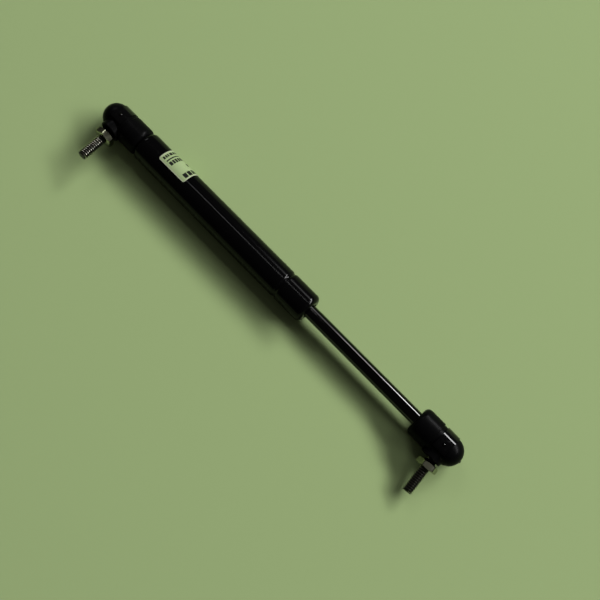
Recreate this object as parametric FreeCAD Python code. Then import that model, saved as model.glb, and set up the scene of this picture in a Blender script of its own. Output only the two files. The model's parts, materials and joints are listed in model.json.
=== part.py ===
import FreeCAD, Part
import math
import os
from FreeCAD import Vector

# A gas spring with a ball stud at each end, drawn fully extended. Millimetres.
# Origin: centre of the tube-end ball. X runs along the strut to the rod end, the studs point to -Y,
# and Z is up.

# Layout along the strut
REACH = 254.0  # ball centre to ball centre, fully extended
STROKE = 80.0
PRESSED_GAP = 1.1  # tube front to rod socket, fully pressed in

# Poses of the two free ends, in degrees
TUBE_END_ROLL = 8.0  # stud tip raised
ROD_END_ROLL = -6.0  # stud tip lowered
TUBE_STUD_LEAN = 3.0  # stud tip towards the rod end
ROD_STUD_LEAN = 7.0
TUBE_HEX_TURN = 28.0
ROD_HEX_TURN = -8.0

# Clearances
SEAT_GAP = 0.05  # beside a piece that seats face to face
BALL_GAP = 0.05  # radial, ball in its socket
ROD_GAP = 0.03  # radial, rod in its bush
BORE_GAP = 0.03  # radial, ring or seal in the tube bore
SKIN_GAP = 0.02  # under the label and the clip bands
THREAD_GAP = 0.05  # radial, plain stand-in for a thread in its hole
STOP_GAP = 0.2  # piston washer to the extension stop, at full reach

# Pressure tube
TUBE_R = 9.0
TUBE_WALL = 1.25
BACK_BEND_R = 2.6  # outside of the turned-in back end
FRONT_BEND_R = 3.0  # outside of the rolled front rim
BACK_HOLE_R = 4.6
RIM_HOLE_R = 4.9
BEAD_FROM_FRONT = 20.0
BEAD_HALF = 1.75
BEAD_DEPTH = 0.55

# Base plug and its threaded stud
PLUG_LENGTH = 5.6
PLUG_GROOVE_FROM_FACE = 2.2
CORD_R = 0.85  # section radius of both static O-rings
CORD_SQUEEZE_GAP = 0.05  # groove floor to cord
THREAD_R = 3.0  # nominal, at both sockets
THREAD_LENGTH = 11.5
THREAD_CHAMFER = 0.6
THREAD_TIP_GAP = 0.6  # thread tip to the bottom of its hole

# Rod
ROD_R = 4.0
TENON_R = 2.5  # inner end that carries the piston
RIVET_R = 3.7
RIVET_LENGTH = 1.8

# Piston pack, in order from the rod shoulder inwards
FRONT_WASHER = 1.2
FRONT_WASHER_R = 6.4  # wide enough to meet the extension stop
PISTON_LENGTH = 6.0
PISTON_R = 7.55
RING_WIDTH = 2.4
RING_SIDE_GAP = 0.1
RING_FLOOR_R = 5.9
RING_SPLIT = 0.8
PORT_R = 0.7
PORT_CIRCLE_R = 4.75
PORT_COUNT = 4
DISC = 0.6
DISC_R = 6.6
ORIFICE_R = 0.35
REAR_WASHER = 1.2
REAR_WASHER_R = 4.1  # leaves the orifice free

# Guide pack, between the bead and the rolled rim
STOP_LENGTH = 2.4
STOP_BORE_GAP = 0.35
BACKING = 1.2
SEAL_LENGTH = 5.4
SEAL_LIP_DEPTH = 3.2
GUIDE_CORD_FROM_SEAL = 3.6
BUSH_WALL = 0.95
BUSH_INSET = 1.0
WIPER_SEAT = 2.0
WIPER_R = 5.7
WIPER_RECESS = 0.2  # lip behind the rolled rim
WIPER_SLOPE = 0.6  # length of the lip's sloping face
WIPER_RELIEF = 0.4  # radial, behind the lip

# Ball socket, one moulding for both ends
SOCKET_SHANK = 19.1  # ball centre to the collar's end face
COLLAR_R = 8.8
COLLAR_CORNER_R = 3.0
COLLAR_FROM_BALL = 6.2
HEAD_R = 8.2
DOME_TIP = 12.3  # ball centre to the dome's tip
GATE_R = 0.6
GATE_HEIGHT = 0.35
BOSS_R = 6.4
BOSS_REACH = 9.6  # ball centre to the mouth's face
BOSS_EDGE = 0.4
MOUTH_CHAMFER = 0.8
COLLAR_EDGE = 0.3

# Spring clip round the head
CLIP_WIDTH = 8.2
CLIP_THICK = 0.6 - SKIN_GAP
LIP_DEPTH = 3.5  # ball centre to the lip's near face, along the stud
LIP_REACH = 3.9  # ball centre to the lip's edge
WINDOW_GAP = 0.1
PIP_R = 1.0
PIP_HEIGHT = 0.75
PIP_EDGE = 0.3
PIP_GAP = 0.1

# Ball stud, measured from the ball centre
BALL_R = 5.0
NECK_R = 2.9
FLARE_R = 4.3
FLARE_LENGTH = 1.1
HEX_START = 11.7
HEX_THICK = 3.6
HEX_FLATS = 11.1
HEX_FACE_R = 5.35  # flat left inside the hexagon's chamfers
SHANK_R = 3.175
SHANK_LENGTH = 15.6
SHANK_CHAMFER = 0.8

# Label round the tube
LABEL_START = 34.4
LABEL_LENGTH = 20.4
LABEL_THICK = 0.1
LABEL_FROM = -7.0  # degrees from the top, towards the studs
LABEL_TO = 150.0  # degrees from the top, round the far side
LABEL_CORNER_R = 1.3

# Stations worked out from the layout
TUBE_BACK = SOCKET_SHANK
ROD_FACE = REACH - SOCKET_SHANK
TUBE_FRONT = ROD_FACE - STROKE - PRESSED_GAP
BORE_R = TUBE_R - TUBE_WALL
BEAD_X = TUBE_FRONT - BEAD_FROM_FRONT
STOP_FRONT = BEAD_X - BEAD_HALF - SEAT_GAP
STOP_BACK = STOP_FRONT - STOP_LENGTH
ROD_SHOULDER = STOP_BACK - STOP_GAP
PISTON_FRONT = ROD_SHOULDER - FRONT_WASHER
PISTON_BACK = PISTON_FRONT - PISTON_LENGTH
DISC_BACK = PISTON_BACK - DISC
TENON_END = DISC_BACK - REAR_WASHER
BACKING_BACK = BEAD_X + BEAD_HALF + SEAT_GAP
SEAL_BACK = BACKING_BACK + BACKING
GUIDE_BACK = SEAL_BACK + SEAL_LENGTH
GUIDE_FRONT = TUBE_FRONT - TUBE_WALL
RING_MIDDLE = (PISTON_FRONT + PISTON_BACK) / 2

X_AXIS = Vector(1, 0, 0)
Y_AXIS = Vector(0, 1, 0)
Z_AXIS = Vector(0, 0, 1)
ORIGIN = Vector(0, 0, 0)
FAR = 40.0  # longer than any head or wall that a cut goes through


def polar(centre, radius, degrees):
    angle = math.radians(degrees)
    return (centre[0] + radius * math.cos(angle), centre[1] + radius * math.sin(angle))


def bend(centre, radius, first, last):
    """An arc step about a centre, from one angle to another, in degrees."""
    return (polar(centre, radius, (first + last) / 2), polar(centre, radius, last))


def outline(start, steps):
    """Edges from a start point: a step is a point for a straight line, or two points for an arc."""
    edges = []
    here = Vector(start[0], start[1], 0)
    for step in steps:
        if isinstance(step[0], tuple):
            through = Vector(step[0][0], step[0][1], 0)
            end = Vector(step[1][0], step[1][1], 0)
            edges.append(Part.Arc(here, through, end).toShape())
        else:
            end = Vector(step[0], step[1], 0)
            edges.append(Part.LineSegment(here, end).toShape())
        here = end
    return edges


def turned(start, *steps):
    """A solid turned about the strut's axis, from a closed outline of (x, radius) points."""
    face = Part.Face(Part.Wire(outline(start, steps + (start,))))
    return face.revolve(ORIGIN, X_AXIS, 360)


def along_stud(start, *steps):
    """The same about the stud's axis, from (distance from the ball centre, radius) points."""
    solid = turned(start, *steps)
    solid.rotate(ORIGIN, Z_AXIS, -90)
    return solid


def ring(back, front, inner, outer):
    """A plain ring or washer between two stations."""
    return turned((back, inner), (back, outer), (front, outer), (front, inner))


def cord_ring(station, centre_r):
    return Part.makeTorus(centre_r, CORD_R, Vector(station, 0, 0), X_AXIS)


def bead_steps(radius, forward):
    """The bead's dip in a wall of the given radius: three tangent arcs, drawn forwards or backwards."""
    slope = math.degrees(2 * math.atan(BEAD_DEPTH / BEAD_HALF))
    arc_r = BEAD_HALF / (2 * math.sin(math.radians(slope)))
    near = (BEAD_X - BEAD_HALF, radius - arc_r)
    far = (BEAD_X + BEAD_HALF, radius - arc_r)
    low = (BEAD_X, radius - BEAD_DEPTH + arc_r)
    if forward:
        return [
            polar(near, arc_r, 90),
            bend(near, arc_r, 90, 90 - slope),
            bend(low, arc_r, 270 - slope, 270 + slope),
            bend(far, arc_r, 90 + slope, 90),
        ]
    return [
        polar(far, arc_r, 90),
        bend(far, arc_r, 90, 90 + slope),
        bend(low, arc_r, 270 + slope, 270 - slope),
        bend(near, arc_r, 90 - slope, 90),
    ]


def pressure_tube():
    """Drawn tube: turned in at the back, beaded behind the guide pack and rolled over in front of it."""
    back_centre = (TUBE_BACK + BACK_BEND_R, TUBE_R - BACK_BEND_R)
    front_centre = (TUBE_FRONT - FRONT_BEND_R, TUBE_R - FRONT_BEND_R)
    steps = [(TUBE_BACK, back_centre[1]), bend(back_centre, BACK_BEND_R, 180, 90)]
    steps += bead_steps(TUBE_R, True)
    steps += [polar(front_centre, FRONT_BEND_R, 90), bend(front_centre, FRONT_BEND_R, 90, 0)]
    steps += [(TUBE_FRONT, RIM_HOLE_R), (GUIDE_FRONT, RIM_HOLE_R), (GUIDE_FRONT, front_centre[1])]
    steps += [bend(front_centre, FRONT_BEND_R - TUBE_WALL, 0, 90)]
    steps += bead_steps(BORE_R, False)
    steps += [polar(back_centre, BACK_BEND_R - TUBE_WALL, 90)]
    steps += [bend(back_centre, BACK_BEND_R - TUBE_WALL, 90, 180), (TUBE_BACK + TUBE_WALL, BACK_HOLE_R)]
    return turned((TUBE_BACK, BACK_HOLE_R), *steps)


def cord_groove_floor():
    return BORE_R - BORE_GAP - 2 * CORD_R - CORD_SQUEEZE_GAP


def with_cord_groove(solid, middle):
    """A groove for a static O-ring, cut round a piece that fills the tube bore."""
    half = CORD_R + CORD_SQUEEZE_GAP
    return solid.cut(ring(middle - half, middle + half, cord_groove_floor(), TUBE_R))


def plug_cord_middle():
    return TUBE_BACK + TUBE_WALL + PLUG_GROOVE_FROM_FACE + CORD_R


def base_plug():
    """Plug that closes the back of the tube, with the threaded stud for the tube-end socket."""
    face = TUBE_BACK + TUBE_WALL
    plug_r = BORE_R - SEAT_GAP
    thread_r = THREAD_R - THREAD_GAP
    tip = TUBE_BACK - THREAD_LENGTH
    boss_r = BACK_HOLE_R - SEAT_GAP
    plug = turned(
        (tip, 0),
        (tip, thread_r - THREAD_CHAMFER),
        (tip + THREAD_CHAMFER, thread_r),
        (TUBE_BACK, thread_r),
        (TUBE_BACK, boss_r),
        (face, boss_r),
        (face, plug_r - BACK_BEND_R + TUBE_WALL),
        (face + BACK_BEND_R - TUBE_WALL, plug_r),
        (face + PLUG_LENGTH, plug_r),
        (face + PLUG_LENGTH, 0),
    )
    return with_cord_groove(plug, plug_cord_middle())


def guide_cord_middle():
    return GUIDE_BACK + GUIDE_CORD_FROM_SEAL


def rod_guide():
    """Guide body behind the rolled rim, bored for the bush and counterbored for the wiper."""
    outer = BORE_R - SEAT_GAP
    corner = FRONT_BEND_R - TUBE_WALL
    bush_r = ROD_R + ROD_GAP + BUSH_WALL + SEAT_GAP
    seat = GUIDE_FRONT - WIPER_SEAT
    body = turned(
        (GUIDE_BACK, bush_r),
        (GUIDE_BACK, outer),
        (GUIDE_FRONT - corner, outer),
        bend((GUIDE_FRONT - corner, outer - corner), corner, 90, 0),
        (GUIDE_FRONT, WIPER_R),
        (seat, WIPER_R),
        (seat, bush_r),
    )
    return with_cord_groove(body, guide_cord_middle())


def guide_bush():
    inner = ROD_R + ROD_GAP
    return ring(GUIDE_BACK + BUSH_INSET, GUIDE_FRONT - WIPER_SEAT, inner, inner + BUSH_WALL)


def dust_wiper():
    """Wiper in the guide's counterbore, with a thin lip that shows in the rim."""
    seat = GUIDE_FRONT - WIPER_SEAT
    lip = TUBE_FRONT - WIPER_RECESS
    inner = ROD_R + ROD_GAP
    nose = RIM_HOLE_R - SEAT_GAP
    return turned(
        (seat, inner + WIPER_RELIEF),
        (seat, WIPER_R - SEAT_GAP),
        (GUIDE_FRONT - SEAT_GAP, WIPER_R - SEAT_GAP),
        (GUIDE_FRONT - SEAT_GAP, nose),
        (lip - WIPER_SLOPE, nose),
        (lip, inner + ROD_GAP),
        (lip, inner),
        (lip - WIPER_SLOPE, inner),
    )


def rod_seal():
    """Lip seal whose V groove opens towards the gas."""
    inner = ROD_R + ROD_GAP
    outer = BORE_R - BORE_GAP
    lip = (outer - inner) / 4
    return turned(
        (SEAL_BACK, inner),
        (SEAL_BACK, inner + lip),
        (SEAL_BACK + SEAL_LIP_DEPTH, (inner + outer) / 2),
        (SEAL_BACK, outer - lip),
        (SEAL_BACK, outer),
        (GUIDE_BACK, outer),
        (GUIDE_BACK, inner),
    )


def seal_backing_ring():
    return ring(BACKING_BACK, SEAL_BACK, ROD_R + STOP_BORE_GAP, BORE_R - SEAT_GAP)


def extension_stop():
    return ring(STOP_BACK, STOP_FRONT, ROD_R + STOP_BORE_GAP, BORE_R - SEAT_GAP)


def piston_rod():
    """Rod with a threaded outer end, and a riveted tenon through the piston pack."""
    thread_r = THREAD_R - THREAD_GAP
    tip = ROD_FACE + THREAD_LENGTH
    dome = RIVET_LENGTH / 2
    return turned(
        (TENON_END - RIVET_LENGTH, 0),
        (TENON_END - RIVET_LENGTH, RIVET_R - dome),
        bend((TENON_END - dome, RIVET_R - dome), dome, 180, 90),
        (TENON_END, RIVET_R),
        (TENON_END, TENON_R),
        (ROD_SHOULDER, TENON_R),
        (ROD_SHOULDER, ROD_R),
        (ROD_FACE, ROD_R),
        (ROD_FACE, thread_r),
        (tip - THREAD_CHAMFER, thread_r),
        (tip, thread_r - THREAD_CHAMFER),
        (tip, 0),
    )


def front_washer():
    """Washer that meets the extension stop, with the piston's ports carried through it."""
    body = ring(PISTON_FRONT, ROD_SHOULDER, TENON_R + SEAT_GAP, FRONT_WASHER_R)
    for hole in ports(PISTON_FRONT, ROD_SHOULDER, PORT_R, PORT_COUNT):
        body = body.cut(hole)
    return body


def rear_washer():
    return ring(TENON_END, DISC_BACK, TENON_R + SEAT_GAP, REAR_WASHER_R)


def ports(back, front, radius, count):
    """Round holes on the port circle, along the strut."""
    holes = []
    for number in range(count):
        y, z = polar((0, 0), PORT_CIRCLE_R, 360 * number / PORT_COUNT)
        holes.append(Part.makeCylinder(radius, front - back, Vector(back, y, z), X_AXIS))
    return holes


def piston():
    """Piston with a groove for its ring and through ports for the gas."""
    half = RING_WIDTH / 2 + RING_SIDE_GAP
    body = ring(PISTON_BACK, PISTON_FRONT, TENON_R + SEAT_GAP, PISTON_R)
    body = body.cut(ring(RING_MIDDLE - half, RING_MIDDLE + half, RING_FLOOR_R, TUBE_R))
    for hole in ports(PISTON_BACK, PISTON_FRONT, PORT_R, PORT_COUNT):
        body = body.cut(hole)
    return body


def piston_ring():
    """Split ring that slides in the bore and lets the piston turn inside it."""
    inner = RING_FLOOR_R + RING_SIDE_GAP
    outer = BORE_R - BORE_GAP
    band = ring(RING_MIDDLE - RING_WIDTH / 2, RING_MIDDLE + RING_WIDTH / 2, inner, outer)
    corner = Vector(RING_MIDDLE - RING_WIDTH, -RING_SPLIT / 2, 0)
    return band.cut(Part.makeBox(2 * RING_WIDTH, RING_SPLIT, TUBE_R, corner))


def orifice_disc():
    """Disc that throttles one port and shuts the others."""
    body = ring(DISC_BACK, PISTON_BACK, TENON_R + SEAT_GAP, DISC_R)
    return body.cut(ports(DISC_BACK, PISTON_BACK, ORIFICE_R, 1)[0])


def socket_body():
    """Ball socket about its own ball centre, collar towards +X and mouth towards -Y."""
    dome_centre = (HEAD_R - DOME_TIP, 0)
    bore_end = SOCKET_SHANK - THREAD_LENGTH - THREAD_TIP_GAP
    corner = (SOCKET_SHANK - COLLAR_CORNER_R, COLLAR_R - COLLAR_CORNER_R)
    body = turned(
        (-DOME_TIP, 0),
        bend(dome_centre, HEAD_R, 180, 90),
        (COLLAR_FROM_BALL, HEAD_R),
        (COLLAR_FROM_BALL, COLLAR_R - COLLAR_EDGE),
        (COLLAR_FROM_BALL + COLLAR_EDGE, COLLAR_R),
        (corner[0], COLLAR_R),
        bend(corner, COLLAR_CORNER_R, 90, 0),
        (SOCKET_SHANK, 0),
    )
    body = body.fuse(along_stud(
        (0, 0),
        (0, BOSS_R),
        (BOSS_REACH - BOSS_EDGE, BOSS_R),
        (BOSS_REACH, BOSS_R - BOSS_EDGE),
        (BOSS_REACH, 0),
    ))
    gate_root = DOME_TIP - GATE_R
    body = body.fuse(Part.makeCylinder(GATE_R, GATE_R + GATE_HEIGHT, Vector(-gate_root, 0, 0), -X_AXIS))
    for side in (1, -1):
        body = body.fuse(pip(side))
    cavity_r = BALL_R + BALL_GAP
    body = body.cut(along_stud(
        (-cavity_r, 0),
        bend((0, 0), cavity_r, 180, 90),
        (BOSS_REACH - MOUTH_CHAMFER, cavity_r),
        (BOSS_REACH + MOUTH_CHAMFER, cavity_r + 2 * MOUTH_CHAMFER),
        (BOSS_REACH + MOUTH_CHAMFER, 0),
    ))
    body = body.cut(Part.makeCylinder(THREAD_R, FAR, Vector(bore_end, 0, 0), X_AXIS))
    width = CLIP_WIDTH + 2 * WINDOW_GAP
    height = CLIP_THICK + 2 * WINDOW_GAP
    low = Vector(-width / 2, -LIP_DEPTH - CLIP_THICK - WINDOW_GAP, -FAR / 2)
    return body.cut(Part.makeBox(width, height, FAR, low)).removeSplitter()


def pip(side):
    """Small round pip on the head that the clip's hole snaps over."""
    root = HEAD_R - PIP_HEIGHT
    post = Part.makeCylinder(PIP_R, 2 * PIP_HEIGHT, Vector(0, 0, side * root), side * Z_AXIS)
    top = [edge for edge in post.Edges if abs(edge.BoundBox.Center.z) > HEAD_R]
    return post.makeChamfer(PIP_EDGE, [edge for edge in top if edge.BoundBox.ZLength < PIP_EDGE])


def clip_body():
    """Spring clip: a band round the back of the head, whose two lips enter the windows under the ball."""
    inner = HEAD_R + SKIN_GAP
    outer = inner + CLIP_THICK
    middle = (inner + outer) / 2
    past = math.degrees(math.asin((LIP_DEPTH + CLIP_THICK) / outer))
    profile = outline(
        (-CLIP_WIDTH / 2, inner),
        [
            (-CLIP_WIDTH / 2, outer),
            (CLIP_WIDTH / 2, outer),
            (CLIP_WIDTH / 2, inner),
            (-CLIP_WIDTH / 2, inner),
        ],
    )
    band = Part.Face(Part.Wire(profile)).revolve(ORIGIN, X_AXIS, 180 + 2 * past)
    band.rotate(ORIGIN, X_AXIS, -90 - past)
    for side in (1, -1):
        lip_z = LIP_REACH if side > 0 else -math.sqrt(middle**2 - LIP_DEPTH**2)
        length = math.sqrt(middle**2 - LIP_DEPTH**2) - LIP_REACH
        corner = Vector(-CLIP_WIDTH / 2, -LIP_DEPTH - CLIP_THICK, lip_z)
        band = band.fuse(Part.makeBox(CLIP_WIDTH, CLIP_THICK, length, corner))
    band = band.cut(Part.makeCylinder(PIP_R + PIP_GAP, FAR, Vector(0, 0, -FAR / 2), Z_AXIS))
    return band.removeSplitter()


def stud_body(hex_turn):
    """Ball stud about its ball centre, pointing along -Y."""
    hex_end = HEX_START + HEX_THICK
    tip = hex_end + SHANK_LENGTH
    neck_start = math.sqrt(BALL_R**2 - NECK_R**2)
    ball = bend((0, 0), BALL_R, 180, math.degrees(math.atan2(NECK_R, neck_start)))
    stem = turned(
        (-BALL_R, 0),
        ball,
        (HEX_START - FLARE_LENGTH, NECK_R),
        (HEX_START, FLARE_R),
        (hex_end, FLARE_R),
        (hex_end, SHANK_R),
        (tip - SHANK_CHAMFER, SHANK_R),
        (tip, SHANK_R - SHANK_CHAMFER),
        (tip, 0),
    )
    corner_r = HEX_FLATS / math.sqrt(3)
    corners = []
    for number in range(7):
        y, z = polar((0, 0), corner_r, 60 * number + hex_turn)
        corners.append(Vector(HEX_START, y, z))
    prism = Part.Face(Part.makePolygon(corners)).extrude(Vector(HEX_THICK, 0, 0))
    drop = (corner_r - HEX_FACE_R) * math.tan(math.radians(30))
    envelope = turned(
        (HEX_START, 0),
        (HEX_START, HEX_FACE_R),
        (HEX_START + drop, corner_r),
        (hex_end - drop, corner_r),
        (hex_end, HEX_FACE_R),
        (hex_end, 0),
    )
    stud = stem.fuse(prism.common(envelope)).removeSplitter()
    stud.rotate(ORIGIN, Z_AXIS, -90)
    return stud


def at_tube_end(shape):
    shape.rotate(ORIGIN, X_AXIS, -TUBE_END_ROLL)
    return shape


def at_rod_end(shape):
    shape.rotate(ORIGIN, X_AXIS, -ROD_END_ROLL)
    shape.translate(Vector(REACH, 0, 0))
    return shape


def faced_back(shape):
    """Turned half way round the stud's axis, so that the collar faces the tube."""
    shape.rotate(ORIGIN, Y_AXIS, 180)
    return shape


def leaned(shape, degrees):
    shape.rotate(ORIGIN, Z_AXIS, degrees)
    return shape


def label():
    """Thin label wrapped over the top of the tube and down its far side."""
    inner = TUBE_R + SKIN_GAP
    end = LABEL_START + LABEL_LENGTH
    profile = outline(
        (LABEL_START, inner),
        [
            (LABEL_START, inner + LABEL_THICK),
            (end, inner + LABEL_THICK),
            (end, inner),
            (LABEL_START, inner),
        ],
    )
    sheet = Part.Face(Part.Wire(profile)).revolve(ORIGIN, X_AXIS, LABEL_TO - LABEL_FROM)
    radial = [edge for edge in sheet.Edges if edge.Length < 2 * LABEL_THICK]
    sheet = sheet.makeFillet(LABEL_CORNER_R, radial)
    sheet.rotate(ORIGIN, X_AXIS, 90 - LABEL_TO)
    return sheet


NODES = {
    "pressure_tube": pressure_tube(),
    "base_plug": base_plug(),
    "base_o_ring": cord_ring(plug_cord_middle(), BORE_R - BORE_GAP - CORD_R),
    "rod_guide": rod_guide(),
    "guide_bush": guide_bush(),
    "guide_o_ring": cord_ring(guide_cord_middle(), BORE_R - BORE_GAP - CORD_R),
    "rod_seal": rod_seal(),
    "seal_backing_ring": seal_backing_ring(),
    "extension_stop": extension_stop(),
    "dust_wiper": dust_wiper(),
    "label": label(),
    "piston_rod": piston_rod(),
    "front_washer": front_washer(),
    "piston": piston(),
    "piston_ring": piston_ring(),
    "orifice_disc": orifice_disc(),
    "rear_washer": rear_washer(),
    "tube_socket": at_tube_end(socket_body()),
    "tube_clip": at_tube_end(clip_body()),
    "tube_ball_stud": at_tube_end(leaned(stud_body(TUBE_HEX_TURN), TUBE_STUD_LEAN)),
    "rod_socket": at_rod_end(faced_back(socket_body())),
    "rod_clip": at_rod_end(faced_back(clip_body())),
    "rod_ball_stud": at_rod_end(leaned(stud_body(ROD_HEX_TURN), ROD_STUD_LEAN)),
}

os.makedirs("parts", exist_ok=True)
for name, shape in NODES.items():
    if shape.ShapeType == "Compound" and len(shape.Solids) == 1:
        shape = shape.Solids[0]
    shape.exportStep("parts/" + name + ".step")
    print(name, len(shape.Solids), "solid", shape.isValid(), "volume %.1f" % shape.Volume)
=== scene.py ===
import json
from math import asin, atan2, cos, pi, radians, sin, tan, tau

import bmesh
import bpy
from mathutils import Matrix, Vector


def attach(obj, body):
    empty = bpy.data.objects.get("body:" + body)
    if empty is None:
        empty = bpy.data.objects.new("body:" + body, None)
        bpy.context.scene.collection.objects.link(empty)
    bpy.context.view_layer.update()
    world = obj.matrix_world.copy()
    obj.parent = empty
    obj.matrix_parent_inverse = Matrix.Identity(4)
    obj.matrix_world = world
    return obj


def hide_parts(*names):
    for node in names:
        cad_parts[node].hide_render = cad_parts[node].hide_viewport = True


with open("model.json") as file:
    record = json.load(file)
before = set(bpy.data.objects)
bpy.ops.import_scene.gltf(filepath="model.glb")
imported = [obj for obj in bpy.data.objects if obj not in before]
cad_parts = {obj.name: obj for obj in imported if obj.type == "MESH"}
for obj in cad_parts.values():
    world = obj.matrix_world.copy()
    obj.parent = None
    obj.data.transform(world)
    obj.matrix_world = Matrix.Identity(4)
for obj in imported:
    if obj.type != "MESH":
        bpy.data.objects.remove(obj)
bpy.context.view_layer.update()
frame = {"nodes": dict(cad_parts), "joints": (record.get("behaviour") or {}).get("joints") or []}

# A black gas spring with a clipped ball socket and a zinc-plated ball stud at each end, lying fully
# extended on a pale green surface. X runs along the strut from the tube-end ball, the studs point to
# -Y and Z is up. Sizes are in millimetres and angles in degrees, and the room's sizes are in metres.

MM = 0.001

# Strut, and the sockets' heads with their round pips, which the clips polish
REACH = 254.0  # from ball centre to ball centre
TUBE_R = 9.0
HEAD_R = 8.2
PIP_R = 1.0
PIP_HEIGHT = 0.6
TUBE_END_ROLL = 8.0  # how far each socket is turned about the strut
ROD_END_ROLL = -6.0

# Ball stud: radii, and stations along its axis from the ball centre
BALL_R = 5.0
NECK_R = 2.9
FLARE_R = 4.3
HEX_START = 11.7
HEX_END = 15.3
HEX_FLAT_R = 5.55  # half of what it measures across its flats
HEX_FACE_R = 5.35  # the flat ring inside the chamfered corners
HEX_CHAMFER = 30.0
RELIEF_R = 2.45
RELIEF_END = 16.3
# Its outline from the neck on. The points along the straight neck keep its shading even.
TURNED_OUTLINE = (
    (NECK_R, 6.0), (NECK_R, 8.2), (NECK_R, 10.3),
    (2.98, 10.6), (3.2, 10.95), (3.62, 11.3), (FLARE_R, HEX_START),
    (HEX_FACE_R, HEX_START), (HEX_FLAT_R, HEX_START), (HEX_FLAT_R, HEX_END), (HEX_FACE_R, HEX_END),
    (2.8, HEX_END), (RELIEF_R + 0.06, HEX_END + 0.06), (RELIEF_R, HEX_END + 0.3),
    (RELIEF_R, RELIEF_END), (0.0, RELIEF_END),
)

# Its rolled thread, wound past both ends and then cut
THREAD_R = 3.175
THREAD_ROOT_R = 2.396
THREAD_PITCH = 1.27
THREAD_START = RELIEF_END - 0.35
THREAD_TIP = 30.9
THREAD_TURNS = 14
ENTRY_R = RELIEF_R + 0.1
ENTRY_SLOPE = 1.6
TIP_CHAMFER = 0.8
# One tooth's outline: how far along the pitch, and radius
TOOTH = (
    (0.0, THREAD_R), (1 / 8, THREAD_R), (7 / 16, THREAD_ROOT_R), (11 / 16, THREAD_ROOT_R), (1.0, THREAD_R),
)

# How finely the studs are turned
BALL_STEPS = 26
TURN_STEPS = 72
THREAD_STEPS = 48
WELD = 0.002  # points closer than this are joined
SHARP = 34.0  # edges that turn more than this stay crisp

# Label print: station along the strut, height, and where each mark starts and ends round the tube,
# measured from the tube's top and away from the studs
PRINTED_ROWS = (
    (36.6, 1.8, ((0.6, 1.8), (2.2, 3.3), (3.6, 4.6), (5.2, 7.2), (7.7, 9.2), (9.7, 11.2), (11.8, 14.6))),
    (39.15, 0.8, ((0.7, 19.0),)),
    (41.7, 2.5, ((0.9, 2.7), (3.1, 4.5), (4.9, 6.4), (6.8, 8.3), (8.8, 10.6), (11.2, 13.4))),
    (46.6, 2.3, ((9.8, 12.4),)),
    (52.3, 3.1, ((1.6, 4.1), (4.7, 7.4), (8.0, 9.6), (10.2, 12.4))),
)
# Between which stations, and from where round the tube, the label lies inside its paler rim
LABEL_SPAN = (34.9, 54.3)
LABEL_EDGE = -0.75

# Widths over which one finish gives way to the next
SOFT = 0.1
PRINT_SOFT = 0.08
RIM_SOFT = 0.3
# Radii between which a thread's roots, painted near-black as shade, give way to its crests, painted
# brighter so their glints stand out
CRESTS = (2.9, 3.0)


# Materials


class Value:
    """What a node gives. Arithmetic on a number adds the Math nodes."""

    def __init__(self, nodes, socket):
        self.nodes = nodes
        self.socket = socket

    def __add__(self, other):
        return self.nodes.maths("ADD", self, other)

    __radd__ = __add__

    def __mul__(self, other):
        return self.nodes.maths("MULTIPLY", self, other)

    __rmul__ = __mul__

    def __sub__(self, other):
        return self.nodes.maths("SUBTRACT", self, other)

    def __rsub__(self, other):
        return self.nodes.maths("SUBTRACT", other, self)

    def __abs__(self):
        return self.nodes.maths("ABSOLUTE", self)


class Nodes:
    """The nodes of a finish or of the room's light."""

    def __init__(self, tree):
        self.tree = tree

    def feed(self, socket, value):
        if isinstance(value, Value):
            self.tree.links.new(value.socket, socket)
        else:
            socket.default_value = value

    def node(self, kind, settings=None, inputs=None, output=0):
        made = self.tree.nodes.new(kind)
        for name, value in (settings or {}).items():
            setattr(made, name, value)
        for name, value in (inputs or {}).items():
            self.feed(made.inputs[name], value)
        return Value(self, made.outputs[output])

    def maths(self, operation, *values):
        return self.node("ShaderNodeMath", {"operation": operation}, dict(enumerate(values)))

    def hypotenuse(self, first, second):
        return self.maths("SQRT", first * first + second * second)

    def step(self, value, low, high):
        """0 below low, 1 above high and smooth between; low may be the greater."""
        limits = {"Value": value, "From Min": low, "From Max": high}
        return self.node("ShaderNodeMapRange", {"interpolation_type": "SMOOTHSTEP"}, limits)

    def between(self, value, low, high, soft):
        """1 where a value lies from low to high, with edges softened over a width."""
        middle = (low + high) / 2
        half = (high - low) / 2
        return self.step(abs(value - middle), half + soft / 2, half - soft / 2)

    def parts(self, coordinates):
        """The coordinates' three numbers."""
        split = self.node("ShaderNodeSeparateXYZ", None, {0: coordinates})
        outputs = split.socket.node.outputs
        return [Value(self, outputs[axis]) for axis in "XYZ"]

    def blend(self, factor, first, second):
        """From the first colour at 0 to the second at 1. The node takes colours at its sockets 6 and 7."""
        inputs = {0: factor}
        for socket, colour in ((6, first), (7, second)):
            inputs[socket] = (*colour, 1) if isinstance(colour, tuple) else colour
        return self.node("ShaderNodeMix", {"data_type": "RGBA"}, inputs, 2)


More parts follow.
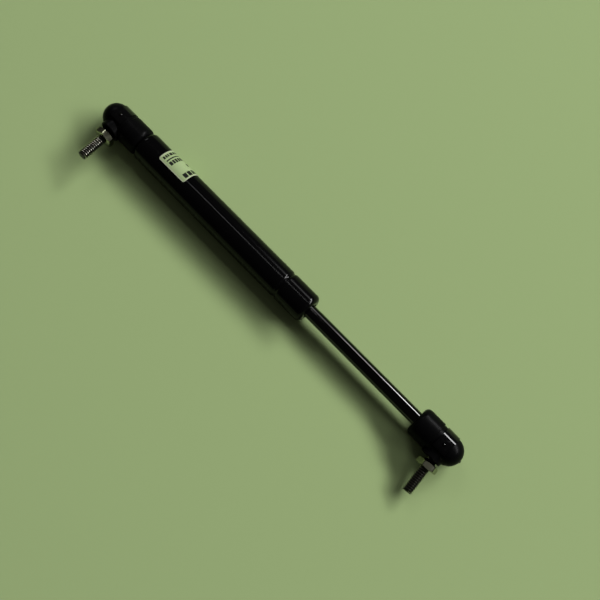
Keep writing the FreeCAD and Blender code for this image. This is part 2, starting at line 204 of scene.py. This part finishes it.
class Finish(Nodes):
    """A material being built: its shader, and the nodes that vary it over a surface."""

    def __init__(self, name, **constants):
        self.material = bpy.data.materials.new(name)
        self.material.use_nodes = True
        super().__init__(self.material.node_tree)
        self.shader = self.tree.nodes["Principled BSDF"]
        for socket, value in constants.items():
            self.shade(socket.replace("_", " "), value)
        self.spot = self.node("ShaderNodeTexCoord", output="Object")

    def shade(self, socket, value):
        self.feed(self.shader.inputs[socket], value)

    def noise(self, scale, detail=2.0, where=None):
        inputs = {"Vector": where or self.spot, "Scale": scale, "Detail": detail}
        return self.node("ShaderNodeTexNoise", None, inputs, "Fac")

    def scaled(self, factors, where=None):
        """Coordinates stretched by a factor along each axis."""
        inputs = {0: where or self.spot, 1: factors}
        return self.node("ShaderNodeVectorMath", {"operation": "MULTIPLY"}, inputs)

    def millimetres(self):
        """How far a point lies along X, Y and Z, in millimetres."""
        return self.parts(self.scaled((1 / MM, 1 / MM, 1 / MM)))

    def relief(self, height, depth, strength=1.0):
        """A fine surface relief: height from 0 to 1, and how deep that is in millimetres."""
        inputs = {"Height": height, "Distance": depth * MM, "Strength": strength}
        self.shade("Normal", self.node("ShaderNodeBump", None, inputs, "Normal"))


def gloss_black_paint():
    """Stove enamel: deep gloss with a slight orange peel, a few dust nibs and hazy rub marks."""
    paint = Finish("gloss_black_paint", IOR=1.5, Specular_IOR_Level=0.1)
    peel = paint.noise(420.0, 1.0)
    haze = paint.noise(55.0, 3.0, paint.scaled((0.25, 1.0, 1.0)))
    nibs = paint.step(paint.noise(1500.0, 0.0), 0.78, 0.86)
    dust = nibs * paint.step(paint.noise(90.0), 0.5, 0.7)
    paint.shade("Base Color", paint.blend(dust, (0.0012, 0.0012, 0.0013), (0.012, 0.012, 0.011)))
    paint.shade("Roughness", 0.09 + 0.05 * paint.step(haze, 0.42, 0.75) + 0.25 * dust)
    paint.relief(peel + 0.5 * dust, 0.012, 0.5)
    return paint.material


def black_nitrided_rod():
    """Ground, nitrided and polished steel: near-black metal with faint rings from the grinding."""
    rod = Finish("black_nitrided_rod", Metallic=1.0)
    rings = rod.noise(1.0, 2.0, rod.scaled((9000.0, 60.0, 60.0)))
    patches = rod.noise(120.0, 3.0)
    rod.shade("Base Color", rod.blend(patches, (0.028, 0.028, 0.029), (0.038, 0.0375, 0.0365)))
    rod.shade("Roughness", 0.06 + 0.03 * rings + 0.03 * rod.step(patches, 0.5, 0.8))
    rod.relief(rings, 0.002, 0.5)
    return rod.material


def black_nylon():
    """Glass-filled nylon from the mould: a fine grain, shinier rubbed areas, and round polished pips."""
    nylon = Finish("black_nylon", IOR=1.5, Specular_IOR_Level=0.026)
    grain = nylon.noise(3800.0)
    flow = nylon.noise(260.0, 4.0, nylon.scaled((0.4, 1.0, 1.0)))
    moulded = nylon.blend(flow, (0.0012, 0.0012, 0.0013), (0.0026, 0.0026, 0.0027))

    along, side, up = nylon.millimetres()
    tube_slope, rod_slope = tan(radians(TUBE_END_ROLL)), tan(radians(ROD_END_ROLL))
    at_rod_end = nylon.step(along, REACH / 2 - SOFT, REACH / 2 + SOFT)
    from_ball = abs(abs(along - REACH / 2) - REACH / 2)
    from_middle = side - up * (tube_slope + (rod_slope - tube_slope) * at_rod_end)
    from_pip = nylon.hypotenuse(from_ball, from_middle)
    on_pip = nylon.step(from_pip, PIP_R + SOFT, PIP_R - SOFT) * nylon.step(abs(up), HEAD_R, HEAD_R + SOFT)
    crown = 1.0 - from_pip * from_pip

    nylon.shade("Base Color", nylon.blend(on_pip, moulded, (0.04, 0.04, 0.04)))
    nylon.shade("Metallic", on_pip)
    nylon.shade("Roughness", 0.26 + 0.1 * grain - 0.04 * nylon.step(flow, 0.5, 0.7) - 0.18 * on_pip)
    nylon.relief(0.01 * (grain + 0.4 * flow) + on_pip * crown, PIP_HEIGHT)
    return nylon.material


def black_spring_steel():
    """Blackened spring strip: smooth and glossy, with fine rolling lines and light scuffs."""
    strip = Finish("black_spring_steel", IOR=1.5, Specular_IOR_Level=0.2)
    lines = strip.noise(1.0, 1.0, strip.scaled((7000.0, 400.0, 400.0)))
    scuffs = strip.step(strip.noise(700.0, 4.0), 0.6, 0.72)
    strip.shade("Base Color", strip.blend(scuffs, (0.0015, 0.0015, 0.0016), (0.006, 0.006, 0.0058)))
    strip.shade("Roughness", 0.06 + 0.03 * lines + 0.1 * scuffs)
    strip.relief(lines, 0.003, 0.4)
    return strip.material


def zinc_plate(name, place):
    """Bright zinc on turned steel: lathe rings round the stud, mottled plate, thread roots painted
    near-black as shade and crests painted brighter as highlight.
    """
    zinc = Finish(name, Metallic=1.0)
    where = {"Location": place.translation, "Rotation": tuple(place.to_euler()), "Scale": (MM, MM, MM)}
    on_stud = zinc.node("ShaderNodeMapping", {"vector_type": "TEXTURE"}, {"Vector": zinc.spot, **where})
    across, beside, station = zinc.parts(on_stud)
    radius = zinc.hypotenuse(across, beside)
    shank = zinc.step(station, HEX_END - SOFT, HEX_END + SOFT)
    crest = zinc.step(radius, *CRESTS) * shank
    shaded_roots = shank - crest
    lathe = zinc.noise(1.0, 1.0, zinc.scaled((0.3, 0.3, 9.0), on_stud))
    mottle = zinc.noise(900.0, 3.0)
    bloom = zinc.step(zinc.noise(170.0, 3.0), 0.42, 0.68)
    plate = zinc.blend(bloom, (0.23, 0.24, 0.165), (0.33, 0.34, 0.24))
    # The crests are painted brighter than the plate, a painted highlight that makes their glints stand out
    plate = zinc.blend(crest, plate, (0.6, 0.6, 0.5))
    # The thread roots are painted near-black: painted shade in the thread's grooves
    painted_root_shade = zinc.blend(mottle, (0.01, 0.01, 0.009), (0.03, 0.03, 0.026))
    zinc.shade("Base Color", zinc.blend(shaded_roots, plate, painted_root_shade))
    zinc.shade("Roughness", 0.07 + 0.05 * mottle + 0.03 * bloom + 0.3 * shaded_roots)
    zinc.relief(0.6 * lathe + 0.4 * mottle, 0.003, 0.5)
    return zinc.material


def label_film():
    """Pale printed film with a paler rim and plain marks: rows of short bars, a rule and a small block."""
    film = Finish("label_film", IOR=1.45, Specular_IOR_Level=0.15)
    along, side, up = film.millimetres()
    round_tube = film.maths("ARCTAN2", side, up) * TUBE_R
    ink = 0.0
    for station, height, bars in PRINTED_ROWS:
        row = film.between(along, station - height / 2, station + height / 2, PRINT_SOFT)
        marks = 0.0
        for start, end in bars:
            marks = film.between(round_tube, start, end, PRINT_SOFT) + marks
        ink = row * marks + ink
    inside = film.step(round_tube, LABEL_EDGE, LABEL_EDGE + RIM_SOFT)
    inside = film.between(along, *LABEL_SPAN, RIM_SOFT) * inside
    paper = film.noise(900.0, 3.0)
    stain = film.noise(110.0, 3.0)
    pale = film.blend(stain, (0.225, 0.292, 0.14), (0.26, 0.332, 0.166))
    pale = film.blend(inside, (0.325, 0.355, 0.24), pale)
    film.shade("Base Color", film.blend(film.maths("MINIMUM", ink, 1.0), pale, (0.003, 0.004, 0.002)))
    film.shade("Roughness", 0.42 + 0.15 * paper)
    film.relief(paper, 0.006, 0.4)
    return film.material


def turned_steel():
    """Lathe-turned steel under a film of oil."""
    steel = Finish("turned_steel", Metallic=1.0)
    rings = steel.noise(1.0, 1.0, steel.scaled((8000.0, 250.0, 250.0)))
    oil = steel.noise(220.0, 3.0)
    steel.shade("Base Color", steel.blend(oil, (0.42, 0.41, 0.39), (0.56, 0.56, 0.55)))
    steel.shade("Roughness", 0.24 + 0.14 * rings)
    steel.relief(rings, 0.006, 0.6)
    return steel.material


def nitrile_rubber():
    """Moulded black rubber, slightly bloomed."""
    rubber = Finish("nitrile_rubber", IOR=1.52)
    bloom = rubber.noise(500.0, 4.0)
    rubber.shade("Base Color", rubber.blend(bloom, (0.008, 0.008, 0.008), (0.02, 0.02, 0.019)))
    rubber.shade("Roughness", 0.5 + 0.15 * bloom)
    rubber.relief(rubber.noise(2600.0), 0.01, 0.5)
    return rubber.material


def bearing_bronze():
    """Sintered bronze, open-grained and oil filled."""
    bronze = Finish("bearing_bronze", Metallic=1.0)
    grain = bronze.noise(2400.0, 3.0)
    bronze.shade("Base Color", bronze.blend(grain, (0.34, 0.2, 0.09), (0.56, 0.37, 0.18)))
    bronze.shade("Roughness", 0.34 + 0.2 * grain)
    bronze.relief(grain, 0.02, 0.6)
    return bronze.material


def piston_plastic():
    """Natural acetal: waxy off-white with faint tool marks."""
    acetal = Finish("piston_plastic", IOR=1.48)
    marks = acetal.noise(1.0, 1.0, acetal.scaled((6000.0, 200.0, 200.0)))
    cloud = acetal.noise(300.0)
    acetal.shade("Base Color", acetal.blend(cloud, (0.66, 0.65, 0.59), (0.76, 0.75, 0.7)))
    acetal.shade("Roughness", 0.3 + 0.15 * marks)
    acetal.relief(marks, 0.006, 0.5)
    return acetal.material


# Pieces that are modelled here


def finished(name, body):
    """A named object in the scene from a modelled mesh, at the origin."""
    mesh = bpy.data.meshes.new(name)
    body.to_mesh(mesh)
    body.free()
    made = bpy.data.objects.new(name, mesh)
    bpy.context.scene.collection.objects.link(made)
    return made


# Ball studs, in millimetres on their own axis


def stud_place(joint_name):
    """Where a stud stands: its Z out along the stud from the ball centre, its Y across the strut's X."""
    joint = next(j for j in frame["joints"] if j["name"] == joint_name)
    axis = Vector(joint["axis"]).normalized()
    second = Vector((0.0, axis.z, -axis.y)).normalized()
    first = second.cross(axis)
    place = Matrix((first, second, axis)).transposed().to_4x4()
    place.translation = Vector(joint["pos_m"])
    return place


def spun(outline, turns, steps, rise=0.0):
    """An outline of radii and stations turned about Z, which may rise at each step as a thread does."""
    body = bmesh.new()
    chain = [body.verts.new((radius, 0.0, station)) for radius, station in outline]
    edges = [body.edges.new(pair) for pair in zip(chain, chain[1:])]
    bmesh.ops.spin(body, geom=chain + edges, cent=(0, 0, 0), axis=(0, 0, 1), dvec=(0, 0, rise),
                   angle=tau * turns, steps=steps, use_merge=rise == 0.0, use_duplicate=False)
    bmesh.ops.remove_doubles(body, verts=body.verts[:], dist=WELD)
    return body


def ball_outline():
    """From the ball's far pole to where it meets the neck."""
    last = pi - asin(NECK_R / BALL_R)
    turns = [last * step / BALL_STEPS for step in range(BALL_STEPS + 1)]
    return [(BALL_R * sin(turn), -BALL_R * cos(turn)) for turn in turns]


def cut_hexagon(body, hex_turn):
    """Makes the widest disc of a stud a hexagon with chamfered corners."""
    for vert in body.verts:
        flat = Vector((vert.co.x, vert.co.y, 0.0))
        if flat.length < HEX_FACE_R + WELD:
            continue
        from_corner = (atan2(flat.y, flat.x) - radians(hex_turn)) % radians(60)
        side = HEX_FLAT_R / cos(from_corner - radians(30))
        drop = (side - HEX_FACE_R) * tan(radians(HEX_CHAMFER))
        at_start = vert.co.z < (HEX_START + HEX_END) / 2
        vert.co = flat.normalized() * side
        vert.co.z = HEX_START + drop if at_start else HEX_END - drop


def rolled_thread():
    """One tooth's outline wound up the shank, cut square, and narrowed at its entry and its tip."""
    first_turn = THREAD_START - THREAD_PITCH
    outline = [(radius, first_turn + part * THREAD_PITCH) for part, radius in TOOTH]
    coil = spun(outline, THREAD_TURNS, THREAD_STEPS * THREAD_TURNS, THREAD_PITCH / THREAD_STEPS)
    for end, outwards in ((THREAD_START, -1), (THREAD_TIP, 1)):
        geom = coil.verts[:] + coil.edges[:] + coil.faces[:]
        bmesh.ops.bisect_plane(coil, geom=geom, dist=WELD / 10, plane_co=(0, 0, end),
                               plane_no=(0, 0, outwards), clear_outer=True)
        rim = [edge for edge in coil.edges
               if edge.is_boundary and all(abs(vert.co.z - end) < WELD for vert in edge.verts)]
        bmesh.ops.holes_fill(coil, edges=rim, sides=0)
    for vert in coil.verts:
        flat = Vector((vert.co.x, vert.co.y))
        at_tip = THREAD_R - TIP_CHAMFER + THREAD_TIP - vert.co.z
        at_entry = ENTRY_R + (vert.co.z - THREAD_START) * ENTRY_SLOPE
        limit = min(THREAD_R, at_tip, at_entry)
        if flat.length > limit:
            flat *= limit / flat.length
            vert.co = (flat.x, flat.y, vert.co.z)
    return coil


def ball_stud(name, place, hex_turn):
    """One piece: ball, neck, chamfered hexagon, relief groove and rolled thread."""
    body = spun([*ball_outline(), *TURNED_OUTLINE], 1, TURN_STEPS)
    cut_hexagon(body, hex_turn)
    coil = rolled_thread()
    thread = bpy.data.meshes.new("thread")
    coil.to_mesh(thread)
    coil.free()
    body.from_mesh(thread)
    bpy.data.meshes.remove(thread)
    bmesh.ops.recalc_face_normals(body, faces=body.faces[:])
    for edge in body.edges:
        if edge.is_manifold and edge.calc_face_angle(0.0) > radians(SHARP):
            edge.smooth = False
    for face in body.faces:
        face.smooth = True
    body.transform(place @ Matrix.Scale(MM, 4))
    return finished(name, body)


# Name, joint it turns on, how far its hexagon is turned, body it rides and node it replaces
STUDS = (
    ("tube_end_ball_stud", "tube_stud_turn", 28.0, "tube_stud", "tube_ball_stud"),
    ("rod_end_ball_stud", "rod_stud_turn", -8.0, "rod_stud", "rod_ball_stud"),
)
for name, joint_name, hex_turn, body, node in STUDS:
    place = stud_place(joint_name)
    stud = ball_stud(name, place, hex_turn)
    stud.data.materials.append(zinc_plate(name + "_zinc", place))
    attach(stud, body)
    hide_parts(node)

# Finishes of the pieces that are shown as they were machined or moulded

FINISHES = {
    gloss_black_paint: ("pressure_tube",),
    turned_steel: (
        "base_plug", "rod_guide", "seal_backing_ring", "front_washer", "orifice_disc", "rear_washer",
    ),
    nitrile_rubber: ("base_o_ring", "guide_o_ring", "rod_seal", "dust_wiper"),
    bearing_bronze: ("guide_bush",),
    piston_plastic: ("extension_stop", "piston", "piston_ring"),
    label_film: ("label",),
    black_nitrided_rod: ("piston_rod",),
    black_nylon: ("tube_socket", "rod_socket"),
    black_spring_steel: ("tube_clip", "rod_clip"),
}
for make, nodes in FINISHES.items():
    material = make()
    for node in nodes:
        piece = frame["nodes"][node]
        piece.data.materials.clear()
        piece.data.materials.append(material)

# The room, in metres: a floor of pale green paper that the tube lies on

FLOOR_Z = -TUBE_R * MM
FLOOR_HALF = 12.0
FLOOR_COLOUR = (0.287, 0.376, 0.171)
FLOOR_TONES = (0.99, 1.01)
BLACK = (0.0, 0.0, 0.0)
# How far from the tube-end ball the lamps' light on the paper gives way to the paper's own glow
LAMPS_REACH = (0.9, 3.0)


def floor_paper():
    """Matt pale green paper; far off, where the lamps don't reach, it glows as pale as it is near."""
    paper = Finish("floor_paper", Roughness=0.9, Specular_IOR_Level=0.0, Emission_Strength=1.0)
    away = paper.node("ShaderNodeVectorMath", {"operation": "LENGTH"}, {0: paper.spot}, "Value")
    far = paper.step(away, *LAMPS_REACH)
    low, high = (tuple(part * tone for part in FLOOR_COLOUR) for tone in FLOOR_TONES)
    near = paper.blend(paper.noise(2.0), low, high)
    paper.shade("Base Color", paper.blend(far, near, BLACK))
    paper.shade("Emission Color", paper.blend(far, BLACK, FLOOR_COLOUR))
    return paper.material


ground = bmesh.new()
bmesh.ops.create_grid(ground, x_segments=1, y_segments=1, size=FLOOR_HALF)
bmesh.ops.translate(ground, verts=ground.verts[:], vec=(0.0, 0.0, FLOOR_Z))
floor = finished("floor", ground)
floor.data.materials.append(floor_paper())

# Light: one long soft lamp at the far side, which fades at both ends, weaker soft lamps round it, a
# thin dim strip overhead, and a dim room above a horizon of the floor's colour

MIDDLE_X = REACH / 2 * MM
STRIP_X = -0.17
# Name, degrees from +Y towards +X, degrees above the floor, how far off, where along X it aims, size
# and power
LAMPS = (
    ("long_soft_lamp", 27.2, 34, 5.0, MIDDLE_X, (4.6, 0.8), 358.0),
    ("long_lamp_end", -3, 34, 5.5, MIDDLE_X, (0.72, 0.88), 27.0),
    ("long_lamp_tip", -11.3, 34, 5.5, MIDDLE_X, (0.6, 0.88), 7.0),
    ("right_lamp_end", 60.8, 29.4, 5.7, MIDDLE_X, (0.9, 0.9), 22.0),
    ("upper_soft_lamp", 24, 52, 5.0, MIDDLE_X, (1.4, 1.1), 18.0),
    ("left_soft_lamp", -56, 40, 5.0, MIDDLE_X, (1.8, 0.9), 26.0),
    ("ceiling_soft_lamp", 92, 60, 5.0, MIDDLE_X, (1.8, 1.8), 2.4),
    ("overhead_strip", 0, 66, 1.0, STRIP_X, (0.36, 0.03), 0.4),
)
ROOM_LIGHT = (0.042, 0.038, 0.038)
# Degrees up, between which the floor's colour gives way to the room's
HORIZON = (1, 4)

for name, turn, height, distance, aim, size, power in LAMPS:
    turn, height = radians(turn), radians(height)
    towards = Vector((cos(height) * sin(turn), cos(height) * cos(turn), sin(height)))
    data = bpy.data.lights.new(name, "AREA")
    data.shape = "RECTANGLE"
    data.size, data.size_y = size
    data.energy = power
    lamp = bpy.data.objects.new(name, data)
    lamp.location = towards * distance + Vector((aim, 0.0, 0.0))
    lamp.rotation_euler = towards.to_track_quat("Z", "Y").to_euler()
    bpy.context.scene.collection.objects.link(lamp)

world = bpy.data.worlds.new("dim_room")
world.use_nodes = True
bpy.context.scene.world = world
room = Nodes(world.node_tree)
rise = room.parts(room.node("ShaderNodeTexCoord", output="Generated"))[2]
floor_end, room_start = (sin(radians(angle)) for angle in HORIZON)
room_colour = room.blend(room.step(rise, room_start, floor_end), ROOM_LIGHT, FLOOR_COLOUR)
room.feed(world.node_tree.nodes["Background"].inputs["Color"], room_colour)

# Camera, in metres, at the photo's viewing angle

CAMERA_AT = (0.2328, -0.0836, 0.4933)
CAMERA_LOOK = (-0.17142, 0.16557, -0.97118)
SENSOR_WIDTH = 36.0
LENS = 56.0
NEAREST, FARTHEST = 0.01, 50.0

camera_data = bpy.data.cameras.new("camera")
camera_data.sensor_width = SENSOR_WIDTH
camera_data.lens = LENS
camera_data.clip_start = NEAREST
camera_data.clip_end = FARTHEST
camera = bpy.data.objects.new("camera", camera_data)
camera.location = CAMERA_AT
camera.rotation_euler = Vector(CAMERA_LOOK).to_track_quat("-Z", "Y").to_euler()
bpy.context.scene.collection.objects.link(camera)
bpy.context.scene.camera = camera

bpy.context.scene.view_settings.view_transform = "Standard"
